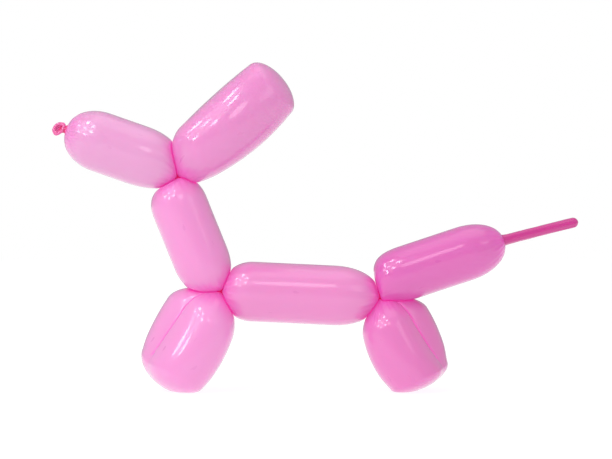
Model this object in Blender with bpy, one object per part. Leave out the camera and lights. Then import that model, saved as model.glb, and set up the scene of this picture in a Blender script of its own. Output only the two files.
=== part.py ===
"""A balloon dog: one long latex balloon, twisted into bubbles and folded loops.

It stands on the folds of its leg loops, nose toward -X and tail toward +X. The sealed,
air-filled skin is one closed solid. Metres, +Z up, origin on the ground under the middle.
"""

from math import cos, pi, radians, sin, sqrt

import bmesh
import bpy
from mathutils import Matrix, Vector

MM = 0.001
MERGE = 0.002 * MM

# Where the bubbles lie: the twists are a chain, each a length and a slope from the last
FRONT_TWIST_HEIGHT = 83.0 * MM
BODY_LENGTH = 132.6 * MM
BODY_SLOPE = -2.2
NECK_LENGTH = 101.5 * MM
NECK_SLOPE = 110.7
NOSE_LENGTH = 101.5 * MM
NOSE_SLOPE = 156.8
TAIL_LENGTH = 113.7 * MM
TAIL_SLOPE = 24.7

# Radius of each round bubble
NOSE_RADIUS = 25.1 * MM
NECK_RADIUS = 23.6 * MM
BODY_RADIUS = 24.9 * MM
TAIL_RADIUS = 22.9 * MM

# How far a bubble's axis stands off the twists at its two ends, which pull on its side:
# to the left of the way from the first twist to the second
BODY_OFFSETS = (1.1 * MM, 0.0 * MM)
NECK_OFFSETS = (5.5 * MM, 7.7 * MM)
NOSE_OFFSETS = (-6.4 * MM, 0.4 * MM)
TAIL_OFFSETS = (12.7 * MM, 0.0 * MM)

# How long the rounding of each end is, as a share of the bubble's radius
BODY_ENDS = (1.09, 1.63)
NECK_ENDS = (1.50, 1.15)
NOSE_ENDS = (1.75, 1.27)
TAIL_ENDS = (1.73, 1.60)

# How full the rounding of each end is: 2 is elliptical, and more is blunter
BODY_FULLNESS = (2.16, 2.14)
NECK_FULLNESS = (2.08, 2.19)
NOSE_FULLNESS = (2.32, 2.02)
TAIL_FULLNESS = (2.55, 2.14)

# The uninflated end of the balloon behind the tail bubble
TIP_LENGTH = 63.4 * MM
TIP_RADIUS = 4.4 * MM
TIP_SLOPE = 14.1
TIP_ROOT = 9.0 * MM

# The knotted neck in front of the nose, and the rolled mouth of the balloon
KNOT_RADIUS = 2.6 * MM
LIP_LONG_RADIUS = 6.6 * MM
LIP_SHORT_RADIUS = 5.0 * MM
LIP_ROLL = 1.2 * MM
LIP_DEPTH = 3.0 * MM
LIP_REACH = 6.2 * MM
LIP_RISE = 0.8 * MM
LIP_SLOPE = 35.0
LIP_FACING = (-0.35, -0.92, 0.18)

# The gathered latex inside a twist, and how far each end runs into it
TWIST_RADIUS = 7.0 * MM
TWIST_GRIP = 0.8 * MM

# Two limbs of a loop press this far into each other, so that they join as one solid. Their
# section is squarer on the pressed side: 1 is elliptical, and less is squarer, root to crease.
LIMB_OVERLAP = 0.4 * MM
PRESS_ROUNDING = 2.0 * MM
INNER_CORNERS = (0.65, 0.25)

# The feet are flattened by this much where they stand
SOLE_DEPTH = 1.6 * MM

# How finely the round forms are cut into facets
ROUND_SIDES = 28
SMALL_SIDES = 14
END_RINGS = 6
SIDE_RINGS = 3
LIMB_RINGS = 6

# How far the groove between two limbs takes to fade out at their crease
GROOVE_FADE = 16.0 * MM

# The folded loops. Each runs at a slope from its twist, reaches to the outside of its fold,
# and is that deep from its crease to the outside. Its rounding starts at the shoulder, before
# the crease, and its root end is that many half widths long. Along a limb, from the root past
# the middle to the crease, go its half width, how far it stands off the loop's line, and its
# roll in degrees about it. The spread is between the loop's line and the middle of a limb, and
# the thickness is half the limb's own. A limb is thickest at the share of the reach in fullest,
# and loses the share in barrel half a reach away from there.
EAR = {
    "slope": 39.5,
    "reach": 119.7 * MM,
    "fold_depth": 22.0 * MM,
    "shoulder": -8.0 * MM,
    "root_end": 1.47,
    "half_width": (19.6 * MM, 27.7 * MM, 27.3 * MM),
    "thickness": 26.0 * MM,
    "spread": (15.5 * MM, 11.0 * MM),
    "offset": (7.8 * MM, 5.8 * MM, 8.1 * MM),
    "roll": (-8.0, 3.8, 0.0),
    "barrel": 0.34,
    "fullest": 0.45,
}
FRONT_LEG = {
    "slope": 240.1,
    "reach": 94.1 * MM,
    "fold_depth": 20.0 * MM,
    "shoulder": -2.2 * MM,
    "root_end": 1.47,
    "half_width": (18.9 * MM, 23.5 * MM, 24.1 * MM),
    "thickness": 26.8 * MM,
    "spread": (11.6 * MM, 13.1 * MM),
    "offset": (-6.5 * MM, -3.9 * MM, -3.2 * MM),
    "roll": (-49.5, -43.0, -31.0),
    "barrel": 0.19,
    "fullest": 0.58,
}
HIND_LEG = {
    "slope": 293.6,
    "reach": 83.8 * MM,
    "fold_depth": 17.0 * MM,
    "shoulder": -6.5 * MM,
    "root_end": 1.47,
    "half_width": (16.5 * MM, 23.1 * MM, 23.0 * MM),
    "thickness": 22.0 * MM,
    "spread": (13.1 * MM, 12.5 * MM),
    "offset": (4.7 * MM, 2.9 * MM, 3.7 * MM),
    "roll": (44.8, 44.5, 24.3),
    "barrel": 0.20,
    "fullest": 0.60,
}

SKIN_COLOUR = (0.86, 0.30, 0.62, 1.0)


# Directions and steps

def along(degrees):
    """The direction at that slope in the dog's own plane, X and Z."""
    return Vector((cos(radians(degrees)), 0.0, sin(radians(degrees))))


def across(degrees):
    """The direction a quarter turn anticlockwise from that slope."""
    return along(degrees + 90.0)


def ease(share):
    """A smooth step from 0 to 1."""
    share = min(max(share, 0.0), 1.0)
    return share * share * (3.0 - 2.0 * share)


def blend(ends, share):
    """The value at that share of the way between two ends."""
    return ends[0] + (ends[1] - ends[0]) * share


def curve(values, share):
    """The smooth curve through a value at the start, the middle and the end."""
    first, middle, last = values
    rest = 1.0 - share
    return first * rest * (rest - share) + 4.0 * middle * share * rest + last * share * (share - rest)


def pressed(height):
    """The height, held above zero with a rounded corner."""
    if height >= PRESS_ROUNDING:
        return height
    if height <= -PRESS_ROUNDING:
        return 0.0
    return (height + PRESS_ROUNDING) ** 2 / (4.0 * PRESS_ROUNDING)


# Solids

def new_object(name, bm):
    """Gives the finished mesh to a new object in the scene."""
    bmesh.ops.recalc_face_normals(bm, faces=bm.faces[:])
    mesh = bpy.data.meshes.new(name)
    bm.to_mesh(mesh)
    bm.free()
    obj = bpy.data.objects.new(name, mesh)
    bpy.context.scene.collection.objects.link(obj)
    return obj


def turned(outline, sides):
    """Spins an outline of (height, radius) pairs, which starts and ends on the Z axis."""
    bm = bmesh.new()
    corners = [bm.verts.new((radius, 0.0, height)) for height, radius in outline]
    sides_up = [bm.edges.new(pair) for pair in zip(corners, corners[1:])]
    bmesh.ops.spin(bm, geom=corners + sides_up, cent=(0, 0, 0), axis=(0, 0, 1), dvec=(0, 0, 0),
                   angle=2.0 * pi, steps=sides, use_merge=True, use_duplicate=False)
    bmesh.ops.remove_doubles(bm, verts=bm.verts[:], dist=MERGE)
    return bm


def lay(bm, start, direction):
    """Turns a mesh from the Z axis to that direction, and moves its foot to start."""
    turn = Vector((0, 0, 1)).rotation_difference(direction).to_matrix()
    bmesh.ops.rotate(bm, verts=bm.verts[:], cent=(0, 0, 0), matrix=turn)
    bmesh.ops.translate(bm, verts=bm.verts[:], vec=start)


def end_reach(radius, end, offset):
    """How far past a twist a rounded end runs, where its axis stands off the twist."""
    return TWIST_GRIP + end * radius * (1.0 - sqrt(1.0 - (offset / radius) ** 2))


def rounded_end(radius, end, fullness):
    """The rounding of a bubble's end, from its pole to its side."""
    turns = [pi / 2 * step / END_RINGS for step in range(END_RINGS + 1)]
    return [(end * radius * (1.0 - abs(cos(turn)) ** (2.0 / fullness)), radius * sin(turn)) for turn in turns]


def bubble_outline(length, radius, ends, fullness):
    """Half the section of a bubble: a rounded end, a straight side and a rounded end."""
    first = rounded_end(radius, ends[0], fullness[0])
    last = [(length - height, wide) for height, wide in rounded_end(radius, ends[1], fullness[1])]
    side_start = first[-1][0]
    side_length = last[-1][0] - side_start
    side = [(side_start + side_length * step / SIDE_RINGS, radius) for step in range(1, SIDE_RINGS)]
    return first + side + last[::-1]


def bubble(name, start, finish, radius, ends, offsets, fullness):
    """A bubble between two twists, whose axis may stand off either of them."""
    chord = (finish - start).normalized()
    off = Vector((-chord.z, 0.0, chord.x))
    axis_start = start + off * offsets[0]
    axis_finish = finish + off * offsets[1]
    direction = (axis_finish - axis_start).normalized()
    before = end_reach(radius, ends[0], offsets[0])
    after = end_reach(radius, ends[1], offsets[1])
    length = (axis_finish - axis_start).length + before + after
    bm = turned(bubble_outline(length, radius, ends, fullness), ROUND_SIDES)
    lay(bm, axis_start - direction * before, direction)
    return new_object(name, bm)


def ball(name, middle, radius):
    """The knuckle of gathered latex inside a twist."""
    bm = bmesh.new()
    bmesh.ops.create_icosphere(bm, subdivisions=2, radius=radius, matrix=Matrix.Translation(middle))
    return new_object(name, bm)


def joined(name, pieces):
    """One solid from pieces that overlap."""
    whole = pieces[0]
    for piece in pieces[1:]:
        union = whole.modifiers.new(piece.name, "BOOLEAN")
        union.operation = "UNION"
        union.object = piece
    bpy.context.view_layer.update()
    mesh = bpy.data.meshes.new_from_object(whole.evaluated_get(bpy.context.evaluated_depsgraph_get()))
    for piece in pieces:
        bpy.data.objects.remove(piece)
    obj = bpy.data.objects.new(name, mesh)
    bpy.context.scene.collection.objects.link(obj)
    return obj


# Folded loops

def crease_height(shape):
    return shape["reach"] - shape["fold_depth"]


def up_the_limb(shape, height):
    """A height as a share of the way from the twist to the crease."""
    return min(max(height / crease_height(shape), 0.0), 1.0)


def leaving(shape, height):
    """How far a limb has come away from its twist there, from 0 at the twist to 1."""
    root_length = shape["root_end"] * shape["half_width"][0]
    return sin(pi / 2 * min(max(height / root_length, 0.0), 1.0))


def limb_section(shape, station):
    """One section of a limb: its height, middle, half thickness, half width and fading groove.

    Stations run from the root's pole, up its rounded end, along the limb and round the fold.
    """
    thickness = shape["thickness"]
    root_length = shape["root_end"] * shape["half_width"][0]
    root_height = root_length - TWIST_GRIP
    shoulder = crease_height(shape) - shape["shoulder"]
    turn = pi / 2 * station / END_RINGS
    height, shrink = root_height - root_length * cos(turn), sin(turn)
    if station > END_RINGS:
        height, shrink = blend((root_height, shoulder), (station - END_RINGS) / LIMB_RINGS), 1.0
    if station > END_RINGS + LIMB_RINGS:
        turn = pi / 2 * (station - END_RINGS - LIMB_RINGS) / END_RINGS
        height, shrink = shoulder + (shape["reach"] - shoulder) * sin(turn), cos(turn)
    share = up_the_limb(shape, height)
    half_width = curve(shape["half_width"], share) * shrink
    spread = blend(shape["spread"], ease(share)) * leaving(shape, height)
    if station <= END_RINGS:
        return height, spread, thickness * shrink, half_width, 0.0
    outside = (spread + thickness) * shrink
    faded = ease((height - crease_height(shape)) / GROOVE_FADE + 0.5)
    middle = spread * shrink * (1.0 - faded)
    return height, middle, outside - middle, half_width, faded


def fuller(shape, height, round_out, round_wide, faded):
    """How much wider a limb's section is at that direction than an ellipse, on its pressed side."""
    if round_out >= 0.0:
        return 1.0
    sharpness = blend(INNER_CORNERS, up_the_limb(shape, height)) - 1.0
    return blend((max(abs(round_wide), 0.02) ** sharpness, 1.0), faded)


def barrel(shape, height):
    """The thickness of a limb there, as a share of its thickness where it is fullest."""
    from_fullest = (height / shape["reach"] - shape["fullest"]) / 0.5
    return 1.0 - shape["barrel"] * from_fullest ** 2


def loop_half(shape):
    """The limb nearer the camera, flat where it meets the other one."""
    last = 2 * END_RINGS + LIMB_RINGS
    blank = [(station, 0.0 if station in (0, last) else 1.0) for station in range(last + 1)]
    bm = turned(blank, ROUND_SIDES)
    for vert in bm.verts:
        round_out, round_wide, station = vert.co
        height, middle, thick, half_width, faded = limb_section(shape, round(station))
        wide = half_width * round_wide * fuller(shape, height, round_out, round_wide, faded)
        out = pressed(middle + thick * round_out) * barrel(shape, height)
        vert.co = (wide, out - LIMB_OVERLAP, height)
    return bm


def set_limb(shape, twist, wide, out, height):
    """Where a point of a limb lies, once the loop is rolled about its line and set on its twist."""
    share = up_the_limb(shape, height)
    roll = radians(curve(shape["roll"], share))
    offset = curve(shape["offset"], share) * leaving(shape, height)
    side = wide * cos(roll) - out * sin(roll) + offset
    depth = wide * sin(roll) + out * cos(roll)
    toward_camera = Vector((0.0, -1.0, 0.0))
    line = along(shape["slope"])
    return twist + line * height + across(shape["slope"]) * side + toward_camera * depth


def loop(name, twist, shape):
    """Both limbs of a folded bubble as one solid, set on its twist."""
    near = new_object(name + "_near", loop_half(shape))
    mirror = loop_half(shape)
    bmesh.ops.scale(mirror, verts=mirror.verts[:], vec=(1, -1, 1))
    far = new_object(name + "_far", mirror)
    solid = joined(name, [near, far])
    for vert in solid.data.vertices:
        vert.co = set_limb(shape, twist, *vert.co)
    return solid


def lowest(shape, twist):
    """The height of the lowest point of a leg loop."""
    half = loop_half(shape)
    places = [vert.co.copy() for vert in half.verts]
    half.free()
    near = [set_limb(shape, twist, wide, out, height).z for wide, out, height in places]
    far = [set_limb(shape, twist, wide, -out, height).z for wide, out, height in places]
    return min(near + far)


def grounded(shape, twist):
    """The same leg with the reach that takes its fold just through the ground."""
    leg = dict(shape)
    for _ in range(6):
        leg["reach"] += (lowest(leg, twist) + SOLE_DEPTH) / -along(leg["slope"]).z
    return leg


# The two ends of the balloon

def tail_tip(start):
    """The uninflated end: it flares into the tail bubble, and its far end is round."""
    flare = [(-TIP_ROOT, 0.0), (-TIP_ROOT, 1.9 * TIP_RADIUS), (-0.5 * TIP_ROOT, 1.45 * TIP_RADIUS),
             (0.0, 1.12 * TIP_RADIUS), (0.5 * TIP_ROOT, TIP_RADIUS)]
    turns = [pi / 2 * step / 4 for step in range(5)]
    end = [(TIP_LENGTH - TIP_RADIUS * (1.0 - sin(turn)), TIP_RADIUS * cos(turn)) for turn in turns]
    bm = turned(flare + end, SMALL_SIDES)
    lay(bm, start, along(TIP_SLOPE))
    return new_object("tail_tip", bm)


def rolled_lip(middle):
    """The mouth of the balloon: an oval ring with a shallow cup in it, and its neck behind."""
    ring_radius = LIP_SHORT_RADIUS - LIP_ROLL
    turns = [radians(180.0 - 45.0 * step) for step in range(6)]
    roll = [(LIP_ROLL * sin(turn), ring_radius + LIP_ROLL * cos(turn)) for turn in turns]
    cup = [(-LIP_ROLL, 0.0), (-LIP_ROLL, 0.6 * ring_radius)]
    back = [(-LIP_DEPTH, KNOT_RADIUS), (-LIP_DEPTH, 0.0)]
    bm = turned(cup + roll + back, 2 * SMALL_SIDES)
    bmesh.ops.scale(bm, verts=bm.verts[:], vec=(LIP_LONG_RADIUS / LIP_SHORT_RADIUS, 1, 1))
    facing = Vector(LIP_FACING).normalized()
    short = facing.cross(along(LIP_SLOPE)).normalized()
    turn = Matrix((short.cross(facing), short, facing)).transposed()
    bmesh.ops.rotate(bm, verts=bm.verts[:], cent=(0, 0, 0), matrix=turn)
    bmesh.ops.translate(bm, verts=bm.verts[:], vec=middle)
    return new_object("rolled_lip", bm)


def knot_neck(start, finish):
    """The gathered neck between the knot in the nose and the rolled mouth."""
    span = finish - start
    outline = [(0.0, 0.0), (0.0, KNOT_RADIUS), (span.length, KNOT_RADIUS), (span.length, 0.0)]
    bm = turned(outline, SMALL_SIDES)
    lay(bm, start, span.normalized())
    return new_object("knot_neck", bm)


# The whole balloon

def flat_soles(obj):
    """Cuts the feet flat at the ground, and centres the dog over the origin."""
    bm = bmesh.new()
    bm.from_mesh(obj.data)
    bmesh.ops.bisect_plane(bm, geom=bm.verts[:] + bm.edges[:] + bm.faces[:], dist=MERGE,
                           plane_co=(0, 0, 0), plane_no=(0, 0, 1), clear_inner=True)
    rim = [edge for edge in bm.edges if edge.is_boundary]
    bmesh.ops.holes_fill(bm, edges=rim, sides=0)
    middles = []
    for axis in (0, 1):
        reach = [vert.co[axis] for vert in bm.verts]
        middles.append((min(reach) + max(reach)) / 2.0)
    bmesh.ops.translate(bm, verts=bm.verts[:], vec=(-middles[0], -middles[1], 0.0))
    bmesh.ops.triangulate(bm, faces=bm.faces[:])
    bm.to_mesh(obj.data)
    bm.free()


def skin_material():
    """Milky pink latex, stretched glossy."""
    material = bpy.data.materials.new("pink_latex")
    material.use_nodes = True
    shader = material.node_tree.nodes["Principled BSDF"]
    shader.inputs["Base Color"].default_value = SKIN_COLOUR
    shader.inputs["Roughness"].default_value = 0.15
    shader.inputs["Metallic"].default_value = 0.0
    return material


def balloon_dog():
    """Every bubble and loop, joined into one sealed skin."""
    front_twist = Vector((0.0, 0.0, FRONT_TWIST_HEIGHT))
    rear_twist = front_twist + along(BODY_SLOPE) * BODY_LENGTH
    head_twist = front_twist + along(NECK_SLOPE) * NECK_LENGTH
    knot = head_twist + along(NOSE_SLOPE) * NOSE_LENGTH
    tail_end = rear_twist + along(TAIL_SLOPE) * TAIL_LENGTH
    lip = knot + Vector((-LIP_REACH, 0.0, LIP_RISE))
    pieces = [
        bubble("body", front_twist, rear_twist, BODY_RADIUS, BODY_ENDS, BODY_OFFSETS, BODY_FULLNESS),
        bubble("neck", front_twist, head_twist, NECK_RADIUS, NECK_ENDS, NECK_OFFSETS, NECK_FULLNESS),
        bubble("nose", head_twist, knot, NOSE_RADIUS, NOSE_ENDS, NOSE_OFFSETS, NOSE_FULLNESS),
        bubble("tail", rear_twist, tail_end, TAIL_RADIUS, TAIL_ENDS, TAIL_OFFSETS, TAIL_FULLNESS),
        loop("ear", head_twist, EAR),
        loop("front_leg", front_twist, grounded(FRONT_LEG, front_twist)),
        loop("hind_leg", rear_twist, grounded(HIND_LEG, rear_twist)),
        ball("head_twist", head_twist, TWIST_RADIUS),
        ball("front_twist", front_twist, TWIST_RADIUS),
        ball("rear_twist", rear_twist, TWIST_RADIUS),
        tail_tip(tail_end),
        knot_neck(knot + along(NOSE_SLOPE) * -LIP_REACH, lip),
        rolled_lip(lip),
    ]
    dog = joined("balloon_dog", pieces)
    flat_soles(dog)
    dog.data.materials.clear()
    dog.data.materials.append(skin_material())
    dog.data.shade_smooth()
    return dog


for leftover in list(bpy.data.objects):
    bpy.data.objects.remove(leftover)
balloon_dog()
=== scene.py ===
# %% [markdown]
# # A balloon dog in pink latex
#
# A balloon dog is one long balloon, twisted into bubbles. The nose, the neck, the body and the tail
# are round bubbles. The ears and each pair of legs are a longer bubble that is folded in half, with
# both of its ends locked in one twist. Each cell below makes one of these things, or one of the
# finishes that latex has, and says why it is made in that way.
#
# The part's own model is loaded first. It is a plain, faceted solid, and everything here lies over it.

# %% The frame and the tools
from math import cos, pi, radians, sin

import bmesh
import bpy
import numpy as np
from mathutils import Matrix, Vector, noise
from mathutils.bvhtree import BVHTree


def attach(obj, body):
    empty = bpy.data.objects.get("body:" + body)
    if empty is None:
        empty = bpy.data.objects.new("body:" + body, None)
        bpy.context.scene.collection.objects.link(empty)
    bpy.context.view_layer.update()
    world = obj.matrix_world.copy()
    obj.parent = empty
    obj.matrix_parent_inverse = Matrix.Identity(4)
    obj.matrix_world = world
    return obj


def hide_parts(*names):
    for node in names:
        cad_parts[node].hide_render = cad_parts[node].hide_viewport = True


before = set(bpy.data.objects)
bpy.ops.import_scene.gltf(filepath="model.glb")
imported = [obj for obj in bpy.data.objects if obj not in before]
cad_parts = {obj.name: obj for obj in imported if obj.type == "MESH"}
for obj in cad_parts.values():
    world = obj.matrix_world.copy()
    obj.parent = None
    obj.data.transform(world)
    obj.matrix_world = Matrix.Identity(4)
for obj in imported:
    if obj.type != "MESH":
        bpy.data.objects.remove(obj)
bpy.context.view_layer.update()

MM = 0.001

# %% [markdown]
# ## Where the bubbles lie
#
# Everything hangs on three twists and on the two ends of the balloon. They form a chain: each one is
# a length and a slope away from the one before it, so changing one length carries the rest along.
# X runs from the nose to the tail, Z is up, and the camera looks along Y.

# %% The chain of twists
def along(degrees):
    """The direction at that slope in the dog's own plane."""
    return Vector((cos(radians(degrees)), 0.0, sin(radians(degrees))))


FRONT_TWIST = Vector((-78.15, 0.0, 83.0)) * MM
REAR_TWIST = FRONT_TWIST + along(-2.2) * 132.6 * MM
HEAD_TWIST = FRONT_TWIST + along(110.7) * 101.5 * MM
NOSE_SLOPE = 156.8
KNOT = HEAD_TWIST + along(NOSE_SLOPE) * 101.5 * MM
TAIL_END = REAR_TWIST + along(24.7) * 113.7 * MM
print("twists at", [tuple(round(c, 4) for c in p) for p in (FRONT_TWIST, REAR_TWIST, HEAD_TWIST)])

# %% [markdown]
# ## Small curves that everything uses
#
# A balloon has no sharp steps, so sizes go from one value to the next on smooth curves. They work on
# whole arrays of numbers at once, because a fine skin has tens of thousands of points.
# `pressed` is the shape that a soft wall takes against a flat one: it comes down to it on a small
# rounded corner, and then lies on it.

# %% Smooth steps
def ease(share):
    """A smooth step from 0 to 1."""
    share = np.clip(share, 0.0, 1.0)
    return share * share * (3.0 - 2.0 * share)


def blend(ends, share):
    """The value at that share of the way between two ends."""
    return ends[0] + (ends[1] - ends[0]) * share


def curve(values, share):
    """The smooth curve through a value at the start, the middle and the end."""
    first, middle, last = values
    rest = 1.0 - share
    return first * rest * (rest - share) + 4.0 * middle * share * rest + last * share * (share - rest)


def pressed(height, rounding):
    """The height, held above zero with a rounded corner."""
    corner = (height + rounding) ** 2 / (4.0 * rounding)
    return np.where(height > rounding, height, np.where(height < -rounding, 0.0, corner))


print("half way up a smooth step:", float(ease(0.5)))

# %% [markdown]
# ## Turned blanks
#
# A round bubble is a shape that a lathe could turn: half of its section, spun once round its axis.
# `bmesh.ops.spin` does that, and merges the last step with the first. The two poles are merged
# afterwards, and the normals are recalculated, since a spin can leave a shape inside out.
# Later on, each point keeps where it is on the tube, as a direction round it and a length along it.
# Wrinkles, streaks and the twist's pleats follow the tube, so all of them read this.

# %% Spinning an outline
MERGE = 0.002 * MM


def turned(outline, sides):
    """Spins an outline of (height, radius) pairs, which starts and ends on the Z axis."""
    bm = bmesh.new()
    corners = [bm.verts.new((radius, 0.0, height)) for height, radius in outline]
    sides_up = [bm.edges.new(pair) for pair in zip(corners, corners[1:])]
    bmesh.ops.spin(bm, geom=corners + sides_up, cent=(0, 0, 0), axis=(0, 0, 1), dvec=(0, 0, 0),
                   angle=2.0 * pi, steps=sides, use_merge=True, use_duplicate=False)
    bmesh.ops.remove_doubles(bm, verts=bm.verts[:], dist=MERGE)
    bmesh.ops.recalc_face_normals(bm, faces=bm.faces[:])
    return bm


def points(bm):
    """The points of a mesh as rows of numbers."""
    return np.array([vert.co[:] for vert in bm.verts])


def put(bm, places):
    """Moves the points of a mesh to those rows."""
    for vert, place in zip(bm.verts, places):
        vert.co = place


print("points closer than", round(MERGE / MM, 4), "mm are merged")

# %% [markdown]
# ## The round bubbles
#
# An air-filled tube is straight between its ends, and each end closes in a dome that is a little
# longer than half a ball, because the twist pulls it out. The dome's curve starts gently, which keeps
# the reflections on it unbroken. `ends` says how long each dome is beside the radius, and `fullness`
# how square it is, where 2 gives an ellipse. At the twist itself the latex is gathered: the pole of
# the dome is pulled over to the twist, and fine pleats run out from it.

# %% A bubble between two twists
BUBBLE_SIDES = 160
DOME_RINGS = 44
SIDE_RINGS = 30
PLEATS = 22
PLEAT_DEPTH = 0.022
PLEAT_TWIST = 3.0
TUBE_STEP = 20.0 * MM
skins = {}


def dome(radius, stretch, fullness):
    """Pairs of height and radius, from the pole of an end to the straight side."""
    turns = [pi / 2 * step / DOME_RINGS for step in range(DOME_RINGS)] + [pi / 2]
    return [(stretch * radius * (1.0 - abs(cos(turn)) ** (2.0 / fullness)), radius * sin(turn))
            for turn in turns]


def bubble_outline(length, radius, ends, fullness):
    """Half the section of a bubble: a dome, a straight side and a dome."""
    first = dome(radius, ends[0], fullness[0])
    last = [(length - high, wide) for high, wide in dome(radius, ends[1], fullness[1])]
    low, high = first[-1][0], last[-1][0]
    side = [(low + (high - low) * step / SIDE_RINGS, radius) for step in range(1, SIDE_RINGS)]
    return first + side + last[::-1]


def on_the_tube(angle, height):
    """Where points are on their tube: a direction round it, and a length along it."""
    return np.column_stack([np.cos(angle), np.sin(angle), height / TUBE_STEP])


def bubble(name, start, finish, radius, ends, offsets, grips, fullness):
    """A round bubble, whose axis may stand off its twists, and which runs a little over them."""
    chord = (finish - start).normalized()
    off = Vector((-chord.z, 0.0, chord.x))
    reaches = [grip + end * radius * (1.0 - (1.0 - (offset / radius) ** 2) ** 0.5)
               for grip, end, offset in zip(grips, ends, offsets)]
    axis_start, axis_finish = start + off * offsets[0], finish + off * offsets[1]
    axis = (axis_finish - axis_start).normalized()
    length = (axis_finish - axis_start).length + sum(reaches)
    poles = (axis_start - axis * reaches[0], axis_finish + axis * reaches[1])
    bm = turned(bubble_outline(length, radius, ends, fullness), BUBBLE_SIDES)
    local = points(bm)
    angle = np.arctan2(local[:, 1], local[:, 0])
    height = local[:, 2]
    turn = Vector((0, 0, 1)).rotation_difference(axis).to_matrix()
    places = local @ np.array(turn).T + np.array(poles[0])
    middle = np.array(poles[0]) + np.outer(height, np.array(axis))
    for pole, twist, end, from_pole in zip(poles, (start, finish), ends, (height, length - height)):
        near = np.clip(1.0 - from_pole / (end * radius), 0.0, 1.0)
        pull = np.outer(near ** 5, np.array(twist - pole))
        places = places + pull
        middle = middle + pull
        pleat = PLEAT_DEPTH * near ** 3 * np.cos(PLEATS * angle + PLEAT_TWIST * near)
        places = places + (places - middle) * pleat[:, None]
    put(bm, places)
    skins[name] = {
        "bm": bm,
        "tube": on_the_tube(angle, height),
        "gather": np.minimum(height, length - height),
        "groove": np.zeros(len(places)),
    }


bubble("body_bubble", FRONT_TWIST, REAR_TWIST, 24.9 * MM, ends=(1.09, 1.63),
       offsets=(1.1 * MM, 0.0), grips=(0.3 * MM, 1.0 * MM), fullness=(2.16, 2.14))
bubble("neck_bubble", FRONT_TWIST, HEAD_TWIST, 23.6 * MM, ends=(1.50, 1.15),
       offsets=(5.5 * MM, 7.7 * MM), grips=(1.4 * MM, 1.6 * MM), fullness=(2.08, 2.19))
bubble("nose_bubble", HEAD_TWIST, KNOT, 25.1 * MM, ends=(1.75, 1.27),
       offsets=(-6.4 * MM, 0.4 * MM), grips=(1.2 * MM, 1.2 * MM), fullness=(2.32, 2.02))
bubble("tail_bubble", REAR_TWIST, TAIL_END, 22.9 * MM, ends=(1.73, 1.60),
       offsets=(12.7 * MM, 0.0), grips=(0.8 * MM, 0.7 * MM), fullness=(2.55, 2.14))
print("points in each bubble:", {name: len(skin["tube"]) for name, skin in skins.items()})

# %% [markdown]
# ## The folded loops
#
# The ears and each pair of legs are a bubble folded in half. Its two limbs press flat against each
# other, from the twist out to the crease inside the fold, so each has the section of a letter D. The
# outside of the fold is one blunt, rounded end, and the whole loop is rolled about its own line, since
# no twister folds one quite straight. A half width, an offset or a roll has three values: at the
# twist, half way, and at the shoulder, where the end starts to round off. The crease lies `fold_depth`
# short of the outermost point, and the shoulder a little beyond the crease. `spread` is how far a
# limb's widest part lies from its flat wall, and `barrel` how much it thins away from where it is
# fullest. `puckered` says how deep the dimples are on either side.

# %% The sizes of the loops
EAR = {
    "slope": 39.5, "reach": 119.7 * MM, "fold_depth": 22.0 * MM, "shoulder": 8.0 * MM,
    "half_width": (20.0 * MM, 27.4 * MM, 26.4 * MM), "offset": (7.8 * MM, 5.8 * MM, 8.1 * MM),
    "thickness": 26.0 * MM, "spread": (15.5 * MM, 11.0 * MM), "roll": (2.0, 6.5, 6.0),
    "barrel": 0.40, "fullest": 0.46, "puckered": (0.1, 0.3),
}
FRONT_LEG = {
    "slope": 240.1, "reach": 93.2 * MM, "fold_depth": 20.0 * MM, "shoulder": 2.2 * MM,
    "half_width": (18.9 * MM, 23.5 * MM, 24.1 * MM), "offset": (-6.5 * MM, -3.9 * MM, -3.2 * MM),
    "thickness": 26.8 * MM, "spread": (11.6 * MM, 13.1 * MM), "roll": (-49.5, -43.0, -31.0),
    "barrel": 0.19, "fullest": 0.58, "puckered": (1.0, 0.15),
}
HIND_LEG = {
    "slope": 293.6, "reach": 83.2 * MM, "fold_depth": 17.0 * MM, "shoulder": 6.5 * MM,
    "half_width": (16.5 * MM, 23.1 * MM, 23.0 * MM), "offset": (4.7 * MM, 2.9 * MM, 3.7 * MM),
    "thickness": 22.0 * MM, "spread": (13.1 * MM, 12.5 * MM), "roll": (44.8, 44.5, 24.3),
    "barrel": 0.20, "fullest": 0.60, "puckered": (0.0, 0.7),
}
print("the ear loop reaches", round(EAR["reach"] / MM), "mm from its twist")

# %% [markdown]
# ## The section of a limb
#
# Three stretches follow each other along a limb: a dome at the twist, the limb itself, and a quarter of
# an ellipse that rounds off the fold. Round the crease, over `GROOVE_FADE`, the two limbs turn into
# one tube. Their widest parts draw together by the share `FOLD_CLOSING`, and the outside stays where
# it was, so the outline has no notch there.

# %% Along a limb
LOOP_SIDES = 176
ROOT_RINGS = 30
LIMB_RINGS = 44
FOLD_RINGS = 36
ROOT_LENGTH = 1.47
ROOT_GRIP = 0.8 * MM
GROOVE_FADE = 20.0 * MM
FOLD_CLOSING = 0.35


def crease_of(shape):
    """How far from the twist the crease inside the fold lies."""
    return shape["reach"] - shape["fold_depth"]


def from_root(shape, height):
    """How far through the dome at the twist a height is, from 0 to 1."""
    return np.clip(height / (ROOT_LENGTH * shape["half_width"][0]), 0.0, 1.0)


def along_limb(shape, height):
    """How far along the limb a height is: 0 at the twist, and 1 from the shoulder on."""
    return np.clip(height / (crease_of(shape) + shape["shoulder"]), 0.0, 1.0)


def past_crease(shape, height):
    """A smooth step from 0 where the limbs are apart to 1 where they are one tube."""
    return ease((height - crease_of(shape)) / GROOVE_FADE + 0.5)


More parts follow.
